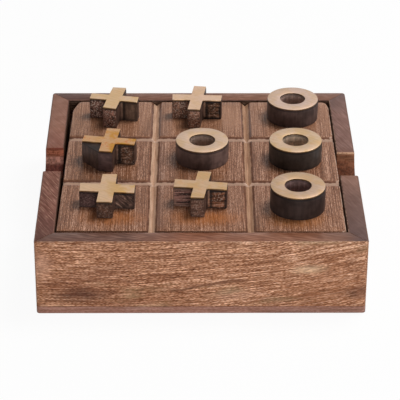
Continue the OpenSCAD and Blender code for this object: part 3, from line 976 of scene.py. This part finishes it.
s = pieceSizes
for seed, (name, spec) in enumerate(crosses.items()):
    centre, (foot, joint, top) = placeOf(name)
    levels = (foot, joint)
    bm = crossOutline(spec, -s["woodProud"])
    standUp(bm, *levels)
    arm = min(a[1] for a in spec["arms"])
    roundEdges(bm, lambda p, q: upright(p, q) and max(abs(p.x), abs(p.y)) > arm, s["outerCorner"], 2)
    roundEdges(bm, lambda p, q: upright(p, q) and max(abs(p.x), abs(p.y)) < arm * 0.8, s["innerCorner"], 4)
    roundEdges(bm, atLevel(foot), s["footArris"], 2)
    roundEdges(bm, atLevel(joint), s["headArris"], 1)
    for axis in (0, 1, 2):
        sliceUp(bm, axis, s["slice"])
    bm.normal_update()
    for f in bm.faces:
        f.material_index = cutOf(f, arm)
    setDown(bm, spec["turn"], centre.x, centre.y)
    wear(bm, *s["crossWear"], seed + 40)
    right, back, left, front = spec["arms"]
    half = front[1] / 2
    borders = {"Left": (-left[0], -half), "Front": (-half, half), "Right": (half, right[0]),
               "Side": None, "Top": None}
    head = ("scratched", (52, 34, 28)) if spec.get("web") else ("planed", (40, 30, 28))
    cuts = spec["cuts"] + (("planed", (76, 56, 48)), head)
    looks = [darkWood(name + part, cutName, tone, seed + i * 5, spec["turn"], centre, levels, ends)
             for i, ((part, ends), (cutName, tone)) in enumerate(zip(borders.items(), cuts))]
    finish(name + "_wood", bm, name, looks)
    bm = crossOutline(spec, 0)
    standUp(bm, joint, top)
    roundEdges(bm, upright, s["brassCorner"], 2)
    roundEdges(bm, atLevel(top), s["brassArris"], 2)
    for axis in (0, 1):
        sliceUp(bm, axis, s["slice"])
    setDown(bm, spec["turn"], centre.x, centre.y)
    wear(bm, *s["brassWear"], seed + 60)
    finish(name + "_brass", bm, name, [brassPlate(name + "Brass", spec, seed + 1, centre.x)])
print("crosses built")


def turned(profile, centre, seed, wave):
    # a ring spun from its profile of (radius, height), with the slight flats that filing by hand leaves
    bm = bmesh.new()
    line = [bm.verts.new((radius, 0, z)) for radius, z in profile]
    for p, q in zip(line, line[1:] + line[:1]):
        bm.edges.new((p, q))
    spinRound(bm, pieceSizes["ringSteps"])
    for v in bm.verts:
        radius = math.hypot(v.co.x, v.co.y)
        bump = noise.noise(Vector((v.co.x / radius * 1.9, v.co.y / radius * 1.9, seed * 3.7)))
        scale = 1 - wave * (0.5 + 0.5 * bump) / radius * math.copysign(1, radius - 8)
        v.co.x *= scale
        v.co.y *= scale
    move(bm, centre.x, centre.y, 0)
    return bm


def ringProfile(inner, outer, low, high, foot, head, middle):
    # a ring's section, its arrises rounded by foot and head; middle is the number of steps up its sides
    steps = [low + foot + (high - head - low - foot) * i / middle for i in range(middle + 1)]
    f, h = foot * 0.3, head * 0.3
    outside = [(outer - foot, low), (outer - f, low + f)] + [(outer, z) for z in steps]
    outside += [(outer - h, high - h), (outer - head, high)]
    inside = [(inner + head, high), (inner + h, high - h)] + [(inner, z) for z in reversed(steps)]
    return [(inner + foot, low)] + outside + inside + [(inner + f, low + f)]


for seed, (name, spec) in enumerate(rings.items()):
    centre, (foot, joint, top) = placeOf(name)
    wood = ringProfile(s["ringInner"], s["ringOuter"], foot, joint, s["footArris"], s["headArris"], 8)
    bm = turned(wood, centre, seed, s["ringWave"])
    for f in bm.faces:
        spot = f.calc_center_median()
        f.material_index = int(math.hypot(spot.x - centre.x, spot.y - centre.y) < s["ringInner"] + 0.3)
    wear(bm, *s["ringWear"], seed + 80)
    looks = [darkWood(name + "Side", "turned", spec["side"], seed + 30, 0, centre, (foot, joint)),
             darkWood(name + "Bore", "bored", spec["bore"], seed + 36, 0, centre, (foot, joint))]
    finish(name + "_wood", bm, name, looks)
    inner, outer = s["ringInner"] + s["brassBack"][0], s["ringOuter"] - s["brassBack"][1]
    bm = turned(ringProfile(inner, outer, joint, top, s["brassFoot"], s["brassHead"], 1), centre, seed,
                s["ringWave"] * 1.5)
    finish(name + "_brass", bm, name, [brassPlate(name + "Brass", spec, seed + 11, centre.x)])
print("rings built")


# The solitaire balls in the store

ballSizes = {"radius": 5, "around": 32, "rings": 20, "turnEach": 2.4, "row": 17}


ballLook = {
    "tones": tonesOf(dark=(196, 142, 96), mid=(214, 164, 118), light=(228, 184, 140), pore=(160, 104, 66),
                     fleck=(236, 202, 164)),
    "contrast": 0.35, "drift": 8.0,
    "shade": dict(rough=0.5, smooth=0.36, depth=0.00003, strength=0.4, specular=0.4),
}


def islandCentres(node):
    # the middle of each loose solid in a CAD node, in millimetres
    bm = bmesh.new()
    bm.from_mesh(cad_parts[node].data)
    bmesh.ops.remove_doubles(bm, verts=bm.verts, dist=1e-6)
    left, centres = set(bm.verts), []
    while left:
        group, border = set(), [left.pop()]
        while border:
            v = border.pop()
            group.add(v)
            fresh = {e.other_vert(v) for e in v.link_edges} & left
            left -= fresh
            border += fresh
        low = Vector([min(v.co[i] for v in group) for i in range(3)])
        high = Vector([max(v.co[i] for v in group) for i in range(3)])
        centres.append((low + high) / 2 / mm)
    bm.free()
    return sorted(centres, key=lambda c: (round(c.y / ballSizes["row"]), c.x))


b = ballSizes
bm = bmesh.new()
for i, centre in enumerate(islandCentres("solitaire_balls")):
    made = bmesh.ops.create_uvsphere(bm, u_segments=b["around"], v_segments=b["rings"],
                                     radius=b["radius"])["verts"]
    axis = Vector((1, i % 5 - 2, 0.3)).normalized()
    bmesh.ops.rotate(bm, cent=(0, 0, 0), matrix=Matrix.Rotation(i * b["turnEach"], 3, axis), verts=made)
    move(bm, *centre, made)
finish("solitaire_balls", bm, "balls", [plainWood("ballWood", ballLook, 7.0)])
print("balls built")


# Floor, light and camera

studio = {
    "skyOnObject": 0.17, "floorPaint": 0.92, "floorGlow": 0.94,
    "lamps": {
        "key": dict(at=(0.37, 0.2, 0.87), size=0.42, power=6.2),
        "fill": dict(at=(0.1, -0.96, 0.17), size=0.4, power=4.8),
        "side": dict(at=(0.85, -0.45, 0.15), size=0.3, power=1.5),
    },
    "cameraAt": (-0.0072, -0.6865, 0.4035), "cameraAim": (-0.0003, -0.0308, 0.0317), "roll": 0.256,
    "lens": 172.73,
}


def seenDirectly(r):
    # 1 for what the camera sees, also in a mirror or through glass
    path = r.node("ShaderNodeLightPath").outputs
    reflected = r.math("MAXIMUM", path["Is Glossy Ray"], path["Is Transmission Ray"])
    return r.math("MAXIMUM", path["Is Camera Ray"], reflected)


def floorPaint():
    r = Recipe("floorPaint")
    paint = studio["floorPaint"]
    lit = r.node("ShaderNodeBsdfDiffuse", {"Color": (paint, paint, paint, 1)})
    glow = r.node("ShaderNodeEmission", {"Color": (1, 1, 1, 1), "Strength": 1.0})
    share = r.times(seenDirectly(r), studio["floorGlow"])
    blend = r.node("ShaderNodeMixShader", {0: share, 1: lit.outputs[0], 2: glow.outputs[0]})
    return r.surface(blend, "ShaderNodeOutputMaterial")


def whiteSky():
    # white where it is seen, and dim where it lights the object
    r = Recipe("studioWorld", "worlds")
    strength = r.node("ShaderNodeMapRange", {0: seenDirectly(r), 3: studio["skyOnObject"], 4: 1.0}).outputs[0]
    sky = r.node("ShaderNodeBackground", {"Color": (1, 1, 1, 1), "Strength": strength})
    return r.surface(sky, "ShaderNodeOutputWorld")


bm = bmesh.new()
bmesh.ops.create_grid(bm, x_segments=8, y_segments=8, size=3)
floor = place("floor", meshOf("floor", bm))
floor.data.materials.append(floorPaint())
bpy.context.scene.world = whiteSky()

for name, spec in studio["lamps"].items():
    lamp = bpy.data.lights.new(name, "AREA")
    lamp.size, lamp.energy = spec["size"], spec["power"]
    holder = place(name, lamp)
    holder.location = spec["at"]
    holder.rotation_mode = "QUATERNION"
    holder.rotation_quaternion = (-Vector(spec["at"])).to_track_quat("-Z", "Y")

camera = place("camera", bpy.data.cameras.new("camera"))
bpy.context.scene.camera = camera
camera.data.lens = studio["lens"]
camera.data.clip_start = 0.01
camera.location = studio["cameraAt"]
aim = (Vector(studio["cameraAim"]) - camera.location).to_track_quat("-Z", "Y")
camera.rotation_mode = "QUATERNION"
camera.rotation_quaternion = aim @ Matrix.Rotation(math.radians(studio["roll"]), 3, "Z").to_quaternion()
bpy.context.scene.view_settings.view_transform = "Standard"
print("floor, light and camera set")
